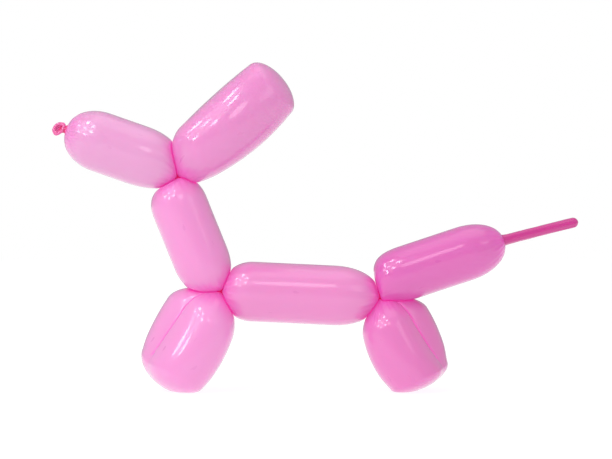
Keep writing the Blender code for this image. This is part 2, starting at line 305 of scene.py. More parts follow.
def limb_sections(shape):
    """Every section of a limb, from twist to fold: its height, middle, half thickness and half width."""
    shoulder = crease_of(shape) + shape["shoulder"]
    root_length = ROOT_LENGTH * shape["half_width"][0]
    root = pi / 2 * np.arange(ROOT_RINGS + 1) / ROOT_RINGS
    limb = np.arange(1, LIMB_RINGS + 1) / LIMB_RINGS
    fold = pi / 2 * np.arange(1, FOLD_RINGS + 1) / FOLD_RINGS
    height = np.concatenate([
        root_length - ROOT_GRIP - root_length * np.cos(root),
        blend((root_length - ROOT_GRIP, shoulder), limb),
        shoulder + (shape["reach"] - shoulder) * np.sin(fold)])
    shrink = np.concatenate([np.sin(root), np.ones(LIMB_RINGS), np.cos(fold)])
    share = along_limb(shape, height)
    half_width = curve(shape["half_width"], share) * shrink
    spread = blend(shape["spread"], ease(share)) * np.sin(pi / 2 * from_root(shape, height))
    outside = (spread + shape["thickness"]) * shrink
    closed = spread * shrink * (1.0 - FOLD_CLOSING * past_crease(shape, height))
    in_root = np.arange(len(height)) <= ROOT_RINGS
    middle = np.where(in_root, spread, closed)
    thick = np.where(in_root, shape["thickness"] * shrink, outside - middle)
    return height, middle, thick, half_width


def barrel(shape, height):
    """How thick a limb is at that height, as a share of its thickness where it is fullest."""
    from_fullest = (height / shape["reach"] - shape["fullest"]) / 0.5
    return 1.0 - shape["barrel"] * from_fullest ** 2


def set_loop(shape, twist, wide, out, height):
    """Rolls a loop about its line and sets it on its twist."""
    share = along_limb(shape, height)
    roll = np.radians(curve(shape["roll"], share))
    offset = curve(shape["offset"], share) * np.sin(pi / 2 * from_root(shape, height))
    side = wide * np.cos(roll) - out * np.sin(roll) + offset
    depth = wide * np.sin(roll) + out * np.cos(roll)
    places = np.array(twist) + np.outer(height, np.array(along(shape["slope"])))
    places = places + np.outer(side, np.array(along(shape["slope"] + 90.0)))
    return places + np.outer(depth, np.array((0.0, -1.0, 0.0)))


print("sections in a limb:", ROOT_RINGS + LIMB_RINGS + FOLD_RINGS + 1)

# %% [markdown]
# ## The pucker at a crease
#
# Where the groove between two limbs runs out at the crease, the latex inside the bend has nowhere to
# go and puckers: three short, narrow dimples fan out over the fold. They are real dents here, a few
# tenths of a millimetre deep, made by moving the points of the fine mesh inwards.

# %% Pucker dents
PUCKER_START = 5.0 * MM
PUCKER_LENGTH = 11.0 * MM
PUCKER_WIDTH = 0.9 * MM
PUCKER_DEPTH = 0.4 * MM
PUCKER_SLOPES = (0.32, -0.30, 0.02)
PUCKER_FROM, PUCKER_FULL = 10.0 * MM, 16.0 * MM


def puckers(height, out, wide, shape):
    """How deep each point is dented, by its place near the end of the groove."""
    dent = np.zeros(len(height))
    run = height - (crease_of(shape) - PUCKER_START)
    for number, slope in enumerate(PUCKER_SLOPES):
        length = PUCKER_LENGTH * (1.0 - 0.22 * number)
        fade = ease(run / (2.5 * MM)) * (1.0 - ease((run - 0.35 * length) / (0.65 * length)))
        off = (out - slope * run) / PUCKER_WIDTH
        dent = dent + PUCKER_DEPTH * fade * np.exp(-off * off)
    at_the_sides = ease((np.abs(wide) - PUCKER_FROM) / (PUCKER_FULL - PUCKER_FROM))
    before, after = shape["puckered"]
    return dent * np.where(wide < 0.0, before, after) * at_the_sides


print("pucker dents are", PUCKER_DEPTH / MM, "mm deep")

# %% [markdown]
# ## Making a loop
#
# Only one limb is modelled. It starts as a turned blank, whose points are moved to the section that the
# limb has at their height. `bisect_plane` cuts off what is past the middle of the fold, and a mirrored
# copy is merged onto the rest, so the fold is one unbroken skin. The powers make the section square:
# a half width that is raised to a small power is nearly full at once. The flat wall gets squarer from
# the twist outwards, and the tube past the crease has a corner of its own.

# %% A limb and its mirror image
LIMB_ROUNDING = 2.6 * MM
LIMB_GAP = 0.06 * MM
WALL_POWERS = (0.65, 0.25)
TUBE_POWER = 0.4
GROOVE_HALF, GROOVE_WIDTH = 0.1 * MM, 1.1 * MM
LAST_RING = ROOT_RINGS + LIMB_RINGS + FOLD_RINGS


def limb_points(shape, blank):
    """Where a blank's points go: across the limb, out from its flat wall and along it."""
    ring = np.rint(blank[:, 2]).astype(int)
    height, middle, thick, half_width = (row[ring] for row in limb_sections(shape))
    angle = np.arctan2(blank[:, 1], blank[:, 0])
    past = past_crease(shape, height)
    raw = middle + thick * blank[:, 0]
    wall = pressed(raw, LIMB_ROUNDING) + LIMB_GAP
    out = (wall * (1.0 - past) + raw * past) * barrel(shape, height)
    sideways = np.maximum(np.abs(blank[:, 1]), 0.02)
    wall_corners = sideways ** (blend(WALL_POWERS, along_limb(shape, height)) - 1.0)
    corners = blend((wall_corners, sideways ** (TUBE_POWER - 1.0)), past)
    squarish = np.where(blank[:, 0] < 0.0, corners, 1.0)
    near = 1.0 - from_root(shape, height)
    pleat = 1.0 + PLEAT_DEPTH * near ** 2.5 * np.cos(PLEATS * angle + PLEAT_TWIST * near)
    return half_width * blank[:, 1] * squarish * pleat, out, height, angle


def fold_over(bm):
    """Cuts a limb off at the middle of the fold, and merges its mirror image onto it."""
    bmesh.ops.bisect_plane(bm, geom=bm.verts[:] + bm.edges[:] + bm.faces[:], dist=MERGE,
                           plane_co=(0, 0, 0), plane_no=(0, 1, 0), clear_inner=True)
    mirrored = bmesh.ops.duplicate(bm, geom=bm.verts[:] + bm.edges[:] + bm.faces[:])
    other = [item for item in mirrored["geom"] if isinstance(item, bmesh.types.BMVert)]
    bmesh.ops.scale(bm, verts=other, vec=(1, -1, 1))
    bmesh.ops.remove_doubles(bm, verts=bm.verts[:], dist=10 * MERGE)
    bmesh.ops.recalc_face_normals(bm, faces=bm.faces[:])


def loop(name, twist, shape):
    """A bubble folded in half, with both of its ends in one twist."""
    sides = [(ring, 1.0) for ring in range(1, LAST_RING)]
    bm = turned([(0, 0.0)] + sides + [(LAST_RING, 0.0)], LOOP_SIDES)
    wide, out, height, angle = limb_points(shape, points(bm))
    tube_angle = bm.verts.layers.float.new("angle")
    for vert, here, turn in zip(bm.verts, zip(wide, out, height), angle):
        vert.co = here
        vert[tube_angle] = turn
    fold_over(bm)
    wide, out, height = points(bm).T
    dent = puckers(height, out, wide, shape)
    put(bm, set_loop(shape, twist, wide - np.sign(wide) * dent, out, height))
    from_groove = np.maximum(np.abs(out) - GROOVE_HALF, 0.0)
    groove = np.exp(-from_groove / GROOVE_WIDTH) * (1.0 - past_crease(shape, height))
    skins[name] = {
        "bm": bm,
        "tube": on_the_tube(np.array([vert[tube_angle] for vert in bm.verts]), height),
        "gather": np.maximum(height, 0.0),
        # The pucker dents count as groove, so they get the painted shade of the grooves.
        "groove": np.maximum(groove, np.clip(dent / PUCKER_DEPTH, 0.0, 1.0) * 0.8),
    }


loop("ear_loop", HEAD_TWIST, EAR)
loop("front_leg_loop", FRONT_TWIST, FRONT_LEG)
loop("hind_leg_loop", REAR_TWIST, HIND_LEG)
for name in ("ear_loop", "front_leg_loop", "hind_leg_loop"):
    open_edges = sum(1 for edge in skins[name]["bm"].edges if not edge.is_manifold)
    print(name, len(skins[name]["tube"]), "points,", open_edges, "open edges")

# %% [markdown]
# ## Pressing the bubbles together
#
# Neighbouring bubbles share a twist, so they push into each other, and the softer one gives way more.
# The numbers in `TOUCHING` say how soft each bubble is beside its neighbours. Each skin moves in,
# straight through itself, until how deep it is in its neighbour matches how far both have moved. Both
# then lie on one surface between them, and leave it on a small rounded corner, which is what makes the
# deep, dark line between two bubbles. A search tree of each skin's faces tells how far a point is from
# the neighbour. The feet press on the floor in the same way.

# %% Pressing
PRESS_ROUNDING = 2.4 * MM
CLOSE_FADE = 2.4 * MM
SKIN_GAP = 0.05 * MM
SEARCH = 30.0 * MM
TWIST_REACH = 62.0 * MM
GUESSES = 12
FOOT_ROUNDING = 1.4 * MM
TOUCHING = (
    ("head", HEAD_TWIST, {"nose_bubble": 2.0, "neck_bubble": 1.0, "ear_loop": 1.3}),
    ("front", FRONT_TWIST, {"neck_bubble": 1.0, "body_bubble": 1.0, "front_leg_loop": 1.0}),
    ("rear", REAR_TWIST, {"body_bubble": 6.0, "tail_bubble": 1.0, "hind_leg_loop": 2.5}),
)


def outside_of(tree, place):
    """How far a point is outside a skin, or inside it where that is negative."""
    spot, normal, _, distance = tree.find_nearest(place, SEARCH)
    if spot is None:
        return SEARCH
    return distance if (place - spot).dot(normal) >= 0.0 else -distance


def corner(height, rounding):
    """pressed() for a single number."""
    if height > rounding:
        return height
    return 0.0 if height < -rounding else (height + rounding) ** 2 / (4.0 * rounding)


def next_move(others, place, normal, move):
    """A better guess of how far in a point moves, so that both skins meet."""
    wanted, step = 0.0, 1.0
    for tree, ratio in others:
        outside = outside_of(tree, place - normal * move)
        needed = ratio * corner(SKIN_GAP - outside, 2.0 * PRESS_ROUNDING / (1.0 + ratio))
        if needed > wanted:
            wanted, step = needed, 1.0 / (1.0 + ratio)
    return move + (wanted - move) * step


def press_near(twist, name, softness, trees):
    """Finds the moves of one skin near one twist, and notes how close it is to its neighbours."""
    skin = skins[name]
    others = [(trees[other], softness[name] / softness[other]) for other in softness if other != name]
    for number, vert in enumerate(skin["bm"].verts):
        place, normal = vert.co, vert.normal
        if (place - twist).length > TWIST_REACH:
            continue
        outside = min(outside_of(tree, place) for tree, _ in others)
        if outside >= SEARCH:
            continue
        if outside < 2.0 * PRESS_ROUNDING:
            move = 0.0
            for _ in range(GUESSES):
                move = next_move(others, place, normal, move)
            outside = min(outside_of(tree, place - normal * move) for tree, _ in others)
            skin["moves"].append((vert, place - normal * move))
        gap = max(outside - SKIN_GAP, 0.0)
        skin["close"][number] = max(skin["close"][number], float(np.exp(-gap / CLOSE_FADE)))


def press_together():
    """Moves every skin out of its neighbours, all at once."""
    trees = {}
    for name, skin in skins.items():
        skin["bm"].normal_update()
        trees[name] = BVHTree.FromBMesh(skin["bm"])
        skin["close"] = np.zeros(len(skin["tube"]))
        skin["moves"] = []
    for _, twist, softness in TOUCHING:
        for name in softness:
            press_near(twist, name, softness, trees)
    for skin in skins.values():
        for vert, place in skin["moves"]:
            vert.co = place


press_together()
for name in ("front_leg_loop", "hind_leg_loop"):
    for vert in skins[name]["bm"].verts:
        if vert.co.z < FOOT_ROUNDING:
            vert.co.z = corner(vert.co.z, FOOT_ROUNDING)
print("points moved:", {name: len(skin["moves"]) for name, skin in skins.items()})

# %% [markdown]
# ## The uneven skin
#
# A dipped latex skin is never quite even, so no bubble is a perfect cylinder. A tenth of a millimetre
# of slow waviness, a little longer along the tube than round it, is enough to break up the straight
# edges of the reflections. The same seeded noise gives the same skin each time. The measures of the
# tube go with the mesh as attributes: how close a neighbour is, how deep in the groove a point lies,
# how far from the gathered end it is, and where it is on the tube.

# %% Waviness, and the finished skins
WAVE = 0.16 * MM
WAVES_ROUND, WAVES_ALONG = 1.3, 0.55
pieces = {}


def make_piece(name, bm, measures, tube):
    """Makes an object of a skin, with the attributes that the latex reads."""
    mesh = bpy.data.meshes.new(name)
    bm.to_mesh(mesh)
    bm.free()
    for label, values in measures.items():
        attribute = mesh.attributes.new(label, "FLOAT", "POINT")
        attribute.data.foreach_set("value", np.asarray(values, dtype=np.float32))
    attribute = mesh.attributes.new("tube", "FLOAT_VECTOR", "POINT")
    attribute.data.foreach_set("vector", np.asarray(tube, dtype=np.float32).ravel())
    mesh.shade_smooth()
    pieces[name] = bpy.data.objects.new(name, mesh)
    bpy.context.scene.collection.objects.link(pieces[name])


def finish_skin(name):
    """Adds the waviness, which stops at the neighbours and at the floor."""
    skin = skins[name]
    bm = skin["bm"]
    bm.normal_update()
    shift = Vector((len(name) * 7.3, 0.0, 0.0))
    still = np.clip(1.0 - 1.3 * skin["close"], 0.0, 1.0)
    for vert, (round_x, round_y, high), share in zip(bm.verts, skin["tube"], still):
        if vert.co.z < FOOT_ROUNDING:
            continue
        spot = Vector((round_x * WAVES_ROUND, round_y * WAVES_ROUND, high * WAVES_ALONG)) + shift
        vert.co += vert.normal * (WAVE * share * noise.noise(spot))
    make_piece(name, bm, {label: skin[label] for label in ("close", "groove", "gather")}, skin["tube"])


for name in skins:
    finish_skin(name)
print("faces:", {name: len(piece.data.polygons) for name, piece in pieces.items()})

# %% [markdown]
# ## The knuckles of the twists
#
# Deep between the bubbles the tube is wrung to a cord as thick as a finger's tip. Little of it shows,
# but the eye finds a hole if it isn't there. It is a small ball with ridges that wind round it.

# %% Wrung latex inside each twist
GATHERED_STEP = 4.0 * MM
KNUCKLE_RADIUS = 5.6 * MM


def adopt(name, bm, close=0.0):
    """Makes a piece of a small gathered shape. Its own place stands in for that on the tube."""
    bmesh.ops.recalc_face_normals(bm, faces=bm.faces[:])
    places = points(bm)
    nothing = np.zeros(len(places))
    # close sets how much painted glow and painted seam shade the whole piece gets.
    measures = {"close": nothing + close, "groove": nothing, "gather": nothing}
    make_piece(name, bm, measures, places / GATHERED_STEP)


def knuckle(name, middle, radius):
    """A ball of wrung latex."""
    bm = bmesh.new()
    bmesh.ops.create_icosphere(bm, subdivisions=5, radius=1.0)
    for vert in bm.verts:
        x, y, z = vert.co
        ridge = 1.0 + 0.09 * cos(9.0 * np.arctan2(y, x) + 3.5 * z)
        vert.co = Vector((x * ridge, y * ridge, z)) * radius + middle
    # close=1.0 gives the whole knuckle the full painted glow and the painted seam colour.
    adopt(name, bm, close=1.0)


for label, twist, _ in TOUCHING:
    knuckle(label + "_twist", twist, KNUCKLE_RADIUS)
print("knuckles:", [name for name in pieces if name.endswith("_twist")])

# %% [markdown]
# ## The thin end of the tail
#
# The last of the balloon isn't inflated. It is a soft tube about 9 mm across, with a round closed end,
# and it flares into the tail bubble. Slack latex has long, shallow wrinkles, which are moved into the
# turned shape here.

# %% The tail tip
TIP_LENGTH, TIP_RADIUS, TIP_SLOPE = 63.4 * MM, 4.4 * MM, 14.1
TIP_START = TAIL_END + Vector((0.0, 0.0, 0.4 * MM))
TIP_SIDES, TIP_RINGS, END_RINGS = 72, 60, 14
TIP_BEND = 0.2 * MM
TIP_FLAT, TIP_WIDE = 0.97, 1.05
FLARE = ((-9.0, 0.0), (-9.0, 9.4), (-7.0, 8.2), (-5.0, 6.7), (-3.0, 5.6), (-1.0, 5.0), (1.0, 4.65),
         (3.0, 4.46))
STRAIGHT_FROM = 5.0 * MM


def lay_along(bm, direction, start):
    """Turns a shape that was spun round Z to a direction, and moves it to its place."""
    turn = Vector((0, 0, 1)).rotation_difference(direction).to_matrix()
    bmesh.ops.rotate(bm, verts=bm.verts[:], cent=(0, 0, 0), matrix=turn)
    bmesh.ops.translate(bm, verts=bm.verts[:], vec=start)


def wrinkled(angle, height):
    """How much wider the slack tube is there, as a share of its radius."""
    starting = ease((height + 6.0 * MM) / (12.0 * MM))
    ending = ease((height - TIP_LENGTH + 5.0 * MM) / (5.0 * MM))
    wrinkle = 0.022 * cos(5.0 * angle + 20.0 * height) + 0.016 * cos(9.0 * angle - 34.0 * height)
    wrinkle += 0.03 * noise.noise(Vector((2.0 * cos(angle), 2.0 * sin(angle), height * 120.0)))
    return starting * (1.0 - ending) * wrinkle


def tail_tip():
    """Spins the thin end with its flare, then wrinkles and bends it a little."""
    flare = [(height * MM, radius * MM) for height, radius in FLARE]
    length = (STRAIGHT_FROM, TIP_LENGTH - TIP_RADIUS)
    straight = [(blend(length, step / TIP_RINGS), TIP_RADIUS) for step in range(TIP_RINGS)]
    turns = [pi / 2 * step / END_RINGS for step in range(END_RINGS)]
    end = [(TIP_LENGTH - TIP_RADIUS * (1.0 - sin(turn)), TIP_RADIUS * cos(turn)) for turn in turns]
    bm = turned(flare + straight + end + [(TIP_LENGTH, 0.0)], TIP_SIDES)
    for vert in bm.verts:
        x, y, z = vert.co
        scale = 1.0 + wrinkled(np.arctan2(y, x), z)
        bend = -TIP_BEND * sin(pi * max(z, 0.0) / TIP_LENGTH)
        vert.co = Vector((x * scale * TIP_FLAT + bend, y * scale * TIP_WIDE, z))
    lay_along(bm, along(TIP_SLOPE), TIP_START)
    adopt("tail_tip", bm)


tail_tip()
print("tail tip:", len(pieces["tail_tip"].data.polygons), "faces")

# %% [markdown]
# ## The knot
#
# The balloon is tied off at the tip of the nose, and a short knot of gathered latex sits in the dimple.
# Two rings, spun like the bubbles and one of them tilted, look like the turns of the knot. A ring that
# is finished is tagged, so that the next one leaves its points where they are.

# %% The knot
RING_SIDES, RING_STEPS = 20, 64


def ring(bm, middle, direction, radius, thickness, ridge, waves):
    """A wound ring of latex about a direction, with ridges across it."""
    turns = [2.0 * pi * step / RING_SIDES for step in range(RING_SIDES)]
    corners = [bm.verts.new((radius + thickness * cos(turn), 0.0, thickness * sin(turn))) for turn in turns]
    edges = [bm.edges.new((corners[n - 1], corners[n])) for n in range(RING_SIDES)]
    bmesh.ops.spin(bm, geom=corners + edges, cent=(0, 0, 0), axis=(0, 0, 1), dvec=(0, 0, 0),
                   angle=2.0 * pi, steps=RING_STEPS, use_merge=True, use_duplicate=False)
    turn = Vector((0, 0, 1)).rotation_difference(direction).to_matrix()
    for vert in bm.verts:
        if vert.tag:
            continue
        angle = np.arctan2(vert.co.y, vert.co.x)
        swell = 1.0 + ridge * cos(waves * angle)
        flat = Vector((vert.co.x, vert.co.y, 0.0)).normalized() * radius
        vert.co = flat + (vert.co - flat) * swell
        vert.co = turn @ vert.co + middle
        vert.tag = True


def knot():
    """The tied knot: two wound rings, the second one tilted."""
    bm = bmesh.new()
    nose_line = along(NOSE_SLOPE)
    tilted = (nose_line + Vector((0.0, -0.45, 0.35))).normalized()
    ring(bm, KNOT - nose_line * 0.3 * MM, nose_line, 2.3 * MM, 1.5 * MM, ridge=0.12, waves=7)
    ring(bm, KNOT + nose_line * 1.4 * MM, tilted, 1.9 * MM, 1.25 * MM, ridge=0.1, waves=5)
    adopt("knot", bm)


knot()
print("knot:", len(pieces["knot"].data.polygons), "faces")

# %% [markdown]
# ## The rolled mouth
#
# Past the knot the neck opens into the mouth, whose rim is a rolled bead. The neck behind the bead has
# collapsed, so the mouth is a shallow cup with folds in it. The cup, the bead and the back are one
# outline spun round and then made oval, and the folds are a spiral wave in the cup's floor. A short,
# pleated neck joins the mouth to the knot.

# %% The rolled mouth
LIP_LONG, LIP_SHORT, LIP_ROLL = 6.6 * MM, 5.0 * MM, 1.25 * MM
LIP_MIDDLE = KNOT + Vector((-6.2, 0.0, 0.8)) * MM
LIP_FACING = Vector((-0.35, -0.92, 0.18)).normalized()
LIP_SLOPE = 35.0
LIP_SIDES = 120
NECK_SIDES, NECK_RINGS = 96, 24
CUP_DEPTH = 1.9 * MM
CUP = (0.0, 0.12, 0.24, 0.36, 0.48, 0.58)
CUP_WALL = ((-1.7 * MM, 0.68), (-1.3 * MM, 0.75), (-0.9 * MM, 0.76))
BACK = ((-2.0 * MM, 0.84), (-3.0 * MM, 0.66), (-4.2 * MM, 0.5), (-4.6 * MM, 0.0))


def rolled_mouth():
    """Spins the cup, the bead and the back of the neck as one outline, then shapes them."""
    ring_radius = LIP_SHORT - LIP_ROLL
    floor = [(-CUP_DEPTH, share * ring_radius) for share in CUP]
    wall, back = ([(height, share * ring_radius) for height, share in part] for part in (CUP_WALL, BACK))
    bead_turns = [radians(200.0 - 14.0 * step) for step in range(24)]
    bead = [(LIP_ROLL * sin(turn), ring_radius + LIP_ROLL * cos(turn)) for turn in bead_turns]
    bm = turned(floor + wall + bead + back, LIP_SIDES)
    for vert in bm.verts:
        x, y, z = vert.co
        angle, reach = np.arctan2(y, x), np.hypot(x, y) / ring_radius
        in_cup = -2.05 * MM < z < 0.0
        inside = 1.0 - ease((reach - 0.55) / 0.2) if in_cup else 0.0
        fold = cos(angle - 7.5 * reach + 0.6)
        vert.co.z += 0.75 * MM * inside * fold * ease(reach / 0.35)
        behind = ease((-z - 1.6 * MM) / (1.2 * MM)) * (1.0 - inside)
        crinkle = 1.0 + 0.10 * behind * cos(11.0 * angle)
        uneven = 1.0 + 0.035 * cos(3.0 * angle + 0.8) + 0.02 * cos(5.0 * angle)
        vert.co.x *= crinkle * uneven * LIP_LONG / LIP_SHORT
        vert.co.y *= crinkle * uneven
    short = LIP_FACING.cross(along(LIP_SLOPE)).normalized()
    turn = Matrix((short.cross(LIP_FACING), short, LIP_FACING)).transposed()
    bmesh.ops.rotate(bm, verts=bm.verts[:], cent=(0, 0, 0), matrix=turn)
    bmesh.ops.translate(bm, verts=bm.verts[:], vec=LIP_MIDDLE)
    # close=0.68 paints the seam glow and the deeper seam colour over the whole mouth.
    adopt("rolled_mouth", bm, close=0.68)


def gathered_neck():
    """The short, pleated neck from the knot to the back of the mouth."""
    start = KNOT - along(NOSE_SLOPE) * 4.0 * MM
    finish = LIP_MIDDLE - LIP_FACING * 3.2 * MM
    span = finish - start
    shares = [n / NECK_RINGS for n in range(NECK_RINGS + 1)]
    side = [(span.length * share, (2.9 - 0.9 * sin(pi * share)) * MM) for share in shares]
    bm = turned([(0.0, 0.0)] + side + [(span.length, 0.0)], NECK_SIDES)
    for vert in bm.verts:
        x, y, z = vert.co
        pleat = 1.0 + 0.11 * cos(10.0 * np.arctan2(y, x) + 500.0 * z)
        vert.co = Vector((x * pleat, y * pleat, z))
    lay_along(bm, span.normalized(), start)
    adopt("gathered_neck", bm)


rolled_mouth()
gathered_neck()
print("mouth:", len(pieces["rolled_mouth"].data.polygons), "faces")

# %% [markdown]
# ## The look of latex
#
# Blown-up latex is milky: light goes in, is scattered in the skin and the air behind it, and comes
# out paler. The base colour carries that, with some subsurface scattering for the soft shadows, and a
# clear coat gives the sharp gloss. Where the latex is stretched less, at the twists, it is deeper in
# colour. The same deeper colour is painted into the grooves, the pucker dents and where two bubbles
# nearly touch, as painted shade, and each bubble's own colour carries painted light and shade, which
# makes the tail deepest. The marks at the twists and seams are read from the attributes, so they stay
# on the skin from every side. The nodes for it are made by a few small helpers.

# %% Helpers for nodes
def measure(group, label):
    """Reads an attribute of the mesh."""
    node = group.nodes.new("ShaderNodeAttribute")
    node.attribute_name = label
    return node.outputs["Fac"]


def reckon(group, operation, first, second, clamp=False):
    """One step of arithmetic, each side of which is a number or another node's value."""
    node = group.nodes.new("ShaderNodeMath")
    node.operation = operation
    node.use_clamp = clamp
    for socket, value in zip(node.inputs, (first, second)):
        if isinstance(value, (int, float)):
            socket.default_value = value
        else:
            group.links.new(value, socket)
    return node.outputs[0]


def stepped(group, value, low, high, to_low, to_high):
    """A smooth step from one number to another, while a value goes from low to high."""
    node = group.nodes.new("ShaderNodeMapRange")
    node.interpolation_type = "SMOOTHSTEP"
    group.links.new(value, node.inputs["Value"])
    numbers = {"From Min": low, "From Max": high, "To Min": to_low, "To Max": to_high}
    for label, number in numbers.items():
        node.inputs[label].default_value = number
    return node.outputs["Result"]


def scaled(group, operation, vector, by):
    """A vector times a number, or times another vector."""
    node = group.nodes.new("ShaderNodeVectorMath")
    node.operation = operation
    group.links.new(vector, node.inputs[0])
    if operation == "SCALE":
        group.links.new(by, node.inputs["Scale"])
    else:
        node.inputs[1].default_value = by
    return node.outputs["Vector"]


def cloud(group, vector, scale, detail):
    """Soft noise that follows a vector."""
    node = group.nodes.new("ShaderNodeTexNoise")
    node.inputs["Scale"].default_value = scale
    node.inputs["Detail"].default_value = detail
    group.links.new(vector, node.inputs["Vector"])
    return node.outputs["Fac"]


print("the helpers for nodes are ready")

# %% [markdown]
# ## The latex group
#
# One node group makes the skin of every piece, with its own two colours each time. Deep seams and the
# gathered ends get a painted glow: a little of the slack colour is given off there as emission, which
# stands in for the light that comes through the skin on both sides of a seam. Hidden places lose their
# coat and get rougher. Long streaks and fine dust give a faint relief.

# %% The latex group
# GLOW is the strength of the painted glow: emission that stands in for light through the skin.
GLOW = 0.21
GATHER_REACH = 20.0 * MM
# CLOSE and GROOVED mix in the slack colour as painted shade in crevices and grooves; GATHERED is the less
# stretched latex at the twists.
GATHERED, CLOSE, GROOVED, MOTTLED = 0.52, 0.72, 0.5, 0.10
STREAK_SHAPE = (3.0, 3.0, 0.6)


def empty_group():
    """A group with named inputs and outputs, and nothing between them yet."""
    group = bpy.data.node_groups.new("latex_skin", "ShaderNodeTree")
    inputs = {"Stretched": "Color", "Slack": "Color", "Roughness": "Float", "Wrinkles": "Float"}
    outputs = {"Colour": "Color", "Painted Glow": "Color"}
    outputs.update({"Coat": "Float", "Roughness": "Float", "Height": "Float"})
    for side, sockets in (("INPUT", inputs), ("OUTPUT", outputs)):
        for label, kind in sockets.items():
            group.interface.new_socket(name=label, in_out=side, socket_type="NodeSocket" + kind)
    return group


def latex_colour(group, given, out, tube, hidden):
    """Mixes the stretched and the slack colour, and paints a glow into the deep places."""
    gathered = stepped(group, measure(group, "gather"), 0.0, GATHER_REACH, GATHERED, 0.0)
    # Painted shade: the deeper slack colour where bubbles nearly touch, and in the grooves and the pucker
    # dents.
    close = reckon(group, "MULTIPLY", measure(group, "close"), CLOSE)
    groove = reckon(group, "MULTIPLY", measure(group, "groove"), GROOVED)
    slack = reckon(group, "MAXIMUM", reckon(group, "MAXIMUM", gathered, close), groove)
    patches = reckon(group, "SUBTRACT", cloud(group, tube, 0.8, 1.0), 0.5)
    slack = reckon(group, "ADD", slack, reckon(group, "MULTIPLY", patches, MOTTLED), clamp=True)
    mix = group.nodes.new("ShaderNodeMix")
    mix.data_type = "RGBA"
    group.links.new(slack, mix.inputs["Factor"])
    group.links.new(given["Stretched"], mix.inputs[6])
    group.links.new(given["Slack"], mix.inputs[7])
    group.links.new(mix.outputs[2], out["Colour"])
    # Painted glow: the slack colour is given off as emission in seams, hidden places and gathered ends.
    deep = stepped(group, reckon(group, "MAXIMUM", hidden, gathered), 0.0, 1.0, 0.0, GLOW)
    group.links.new(scaled(group, "SCALE", given["Slack"], deep), out["Painted Glow"])


def latex_gloss(group, given, out, tube, hidden):
    """Gives the coat, the roughness and the height of the relief."""
    group.links.new(stepped(group, hidden, 0.55, 0.95, 1.0, 0.0), out["Coat"])
    streaks = cloud(group, scaled(group, "MULTIPLY", tube, STREAK_SHAPE), 1.5, 2.0)
    dust = cloud(group, tube, 34.0, 2.0)
    rough = reckon(group, "MULTIPLY", reckon(group, "SUBTRACT", streaks, 0.5), 0.03)
    rough = reckon(group, "ADD", rough, stepped(group, hidden, 0.5, 0.95, 0.0, 0.6))
    group.links.new(reckon(group, "ADD", given["Roughness"], rough, clamp=True), out["Roughness"])
    fine = reckon(group, "MULTIPLY", dust, 0.25)
    fine = reckon(group, "ADD", reckon(group, "MULTIPLY", streaks, 0.75), fine)
    group.links.new(reckon(group, "MULTIPLY", fine, given["Wrinkles"]), out["Height"])


def latex_group():
    """The whole group: colour, glow, gloss and relief."""
    group = empty_group()
    given = group.nodes.new("NodeGroupInput").outputs
    out = group.nodes.new("NodeGroupOutput").inputs
    place = group.nodes.new("ShaderNodeAttribute")
    place.attribute_name = "tube"
    hidden = reckon(group, "MAXIMUM", measure(group, "close"), measure(group, "groove"))
    latex_colour(group, given, out, place.outputs["Vector"], hidden)
    latex_gloss(group, given, out, place.outputs["Vector"], hidden)
    return group


skin_group = latex_group()
print("the latex group has", len(skin_group.nodes), "nodes")

# %% [markdown]
# ## The latex of each bubble
#
# Each bubble has a stretched colour of its own, and they share the slack one. The stretched colours
# carry painted light and shade: they are palest at the nose and the front leg and deepest at the tail.
# The wrung latex of the twists and the knot is nearly red, and the tail tip and the mouth are as deep
# as an empty balloon. The gloss is a coat over a duller skin, which gives a crisp spot inside a soft
# one.

# %% Latex materials
BUMP_HEIGHT = 0.06 * MM
SCATTER_REACH = 9.0 * MM
SCATTER_COLOURS = (1.0, 0.45, 0.75)
COAT_ROUGHNESS = 0.075


def latex(name, stretched, slack, roughness, wrinkles, scatter):
    """A latex material with its own stretched and slack colour."""
    material = bpy.data.materials.new(name)
    material.use_nodes = True
    nodes, links = material.node_tree.nodes, material.node_tree.links
    shader = nodes["Principled BSDF"]
    skin = nodes.new("ShaderNodeGroup")
    skin.node_tree = skin_group
    skin.inputs["Stretched"].default_value = (*stretched, 1.0)
    skin.inputs["Slack"].default_value = (*slack, 1.0)
    skin.inputs["Roughness"].default_value = roughness
    skin.inputs["Wrinkles"].default_value = wrinkles
    bump = nodes.new("ShaderNodeBump")
    bump.inputs["Distance"].default_value = BUMP_HEIGHT
    bump.inputs["Strength"].default_value = 1.0
    links.new(skin.outputs["Colour"], shader.inputs["Base Color"])
    links.new(skin.outputs["Roughness"], shader.inputs["Roughness"])
    links.new(skin.outputs["Height"], bump.inputs["Height"])
    links.new(bump.outputs["Normal"], shader.inputs["Normal"])
    links.new(skin.outputs["Painted Glow"], shader.inputs["Emission Color"])
    links.new(skin.outputs["Coat"], shader.inputs["Coat Weight"])
    shader.inputs["Emission Strength"].default_value = 1.0
    shader.inputs["Metallic"].default_value = 0.0
    shader.inputs["IOR"].default_value = 1.5
    shader.inputs["Subsurface Weight"].default_value = scatter
    shader.inputs["Subsurface Radius"].default_value = SCATTER_COLOURS
    shader.inputs["Subsurface Scale"].default_value = SCATTER_REACH
    shader.inputs["Coat Roughness"].default_value = COAT_ROUGHNESS
    return material


DEEP_PINK = (0.80, 0.080, 0.51)
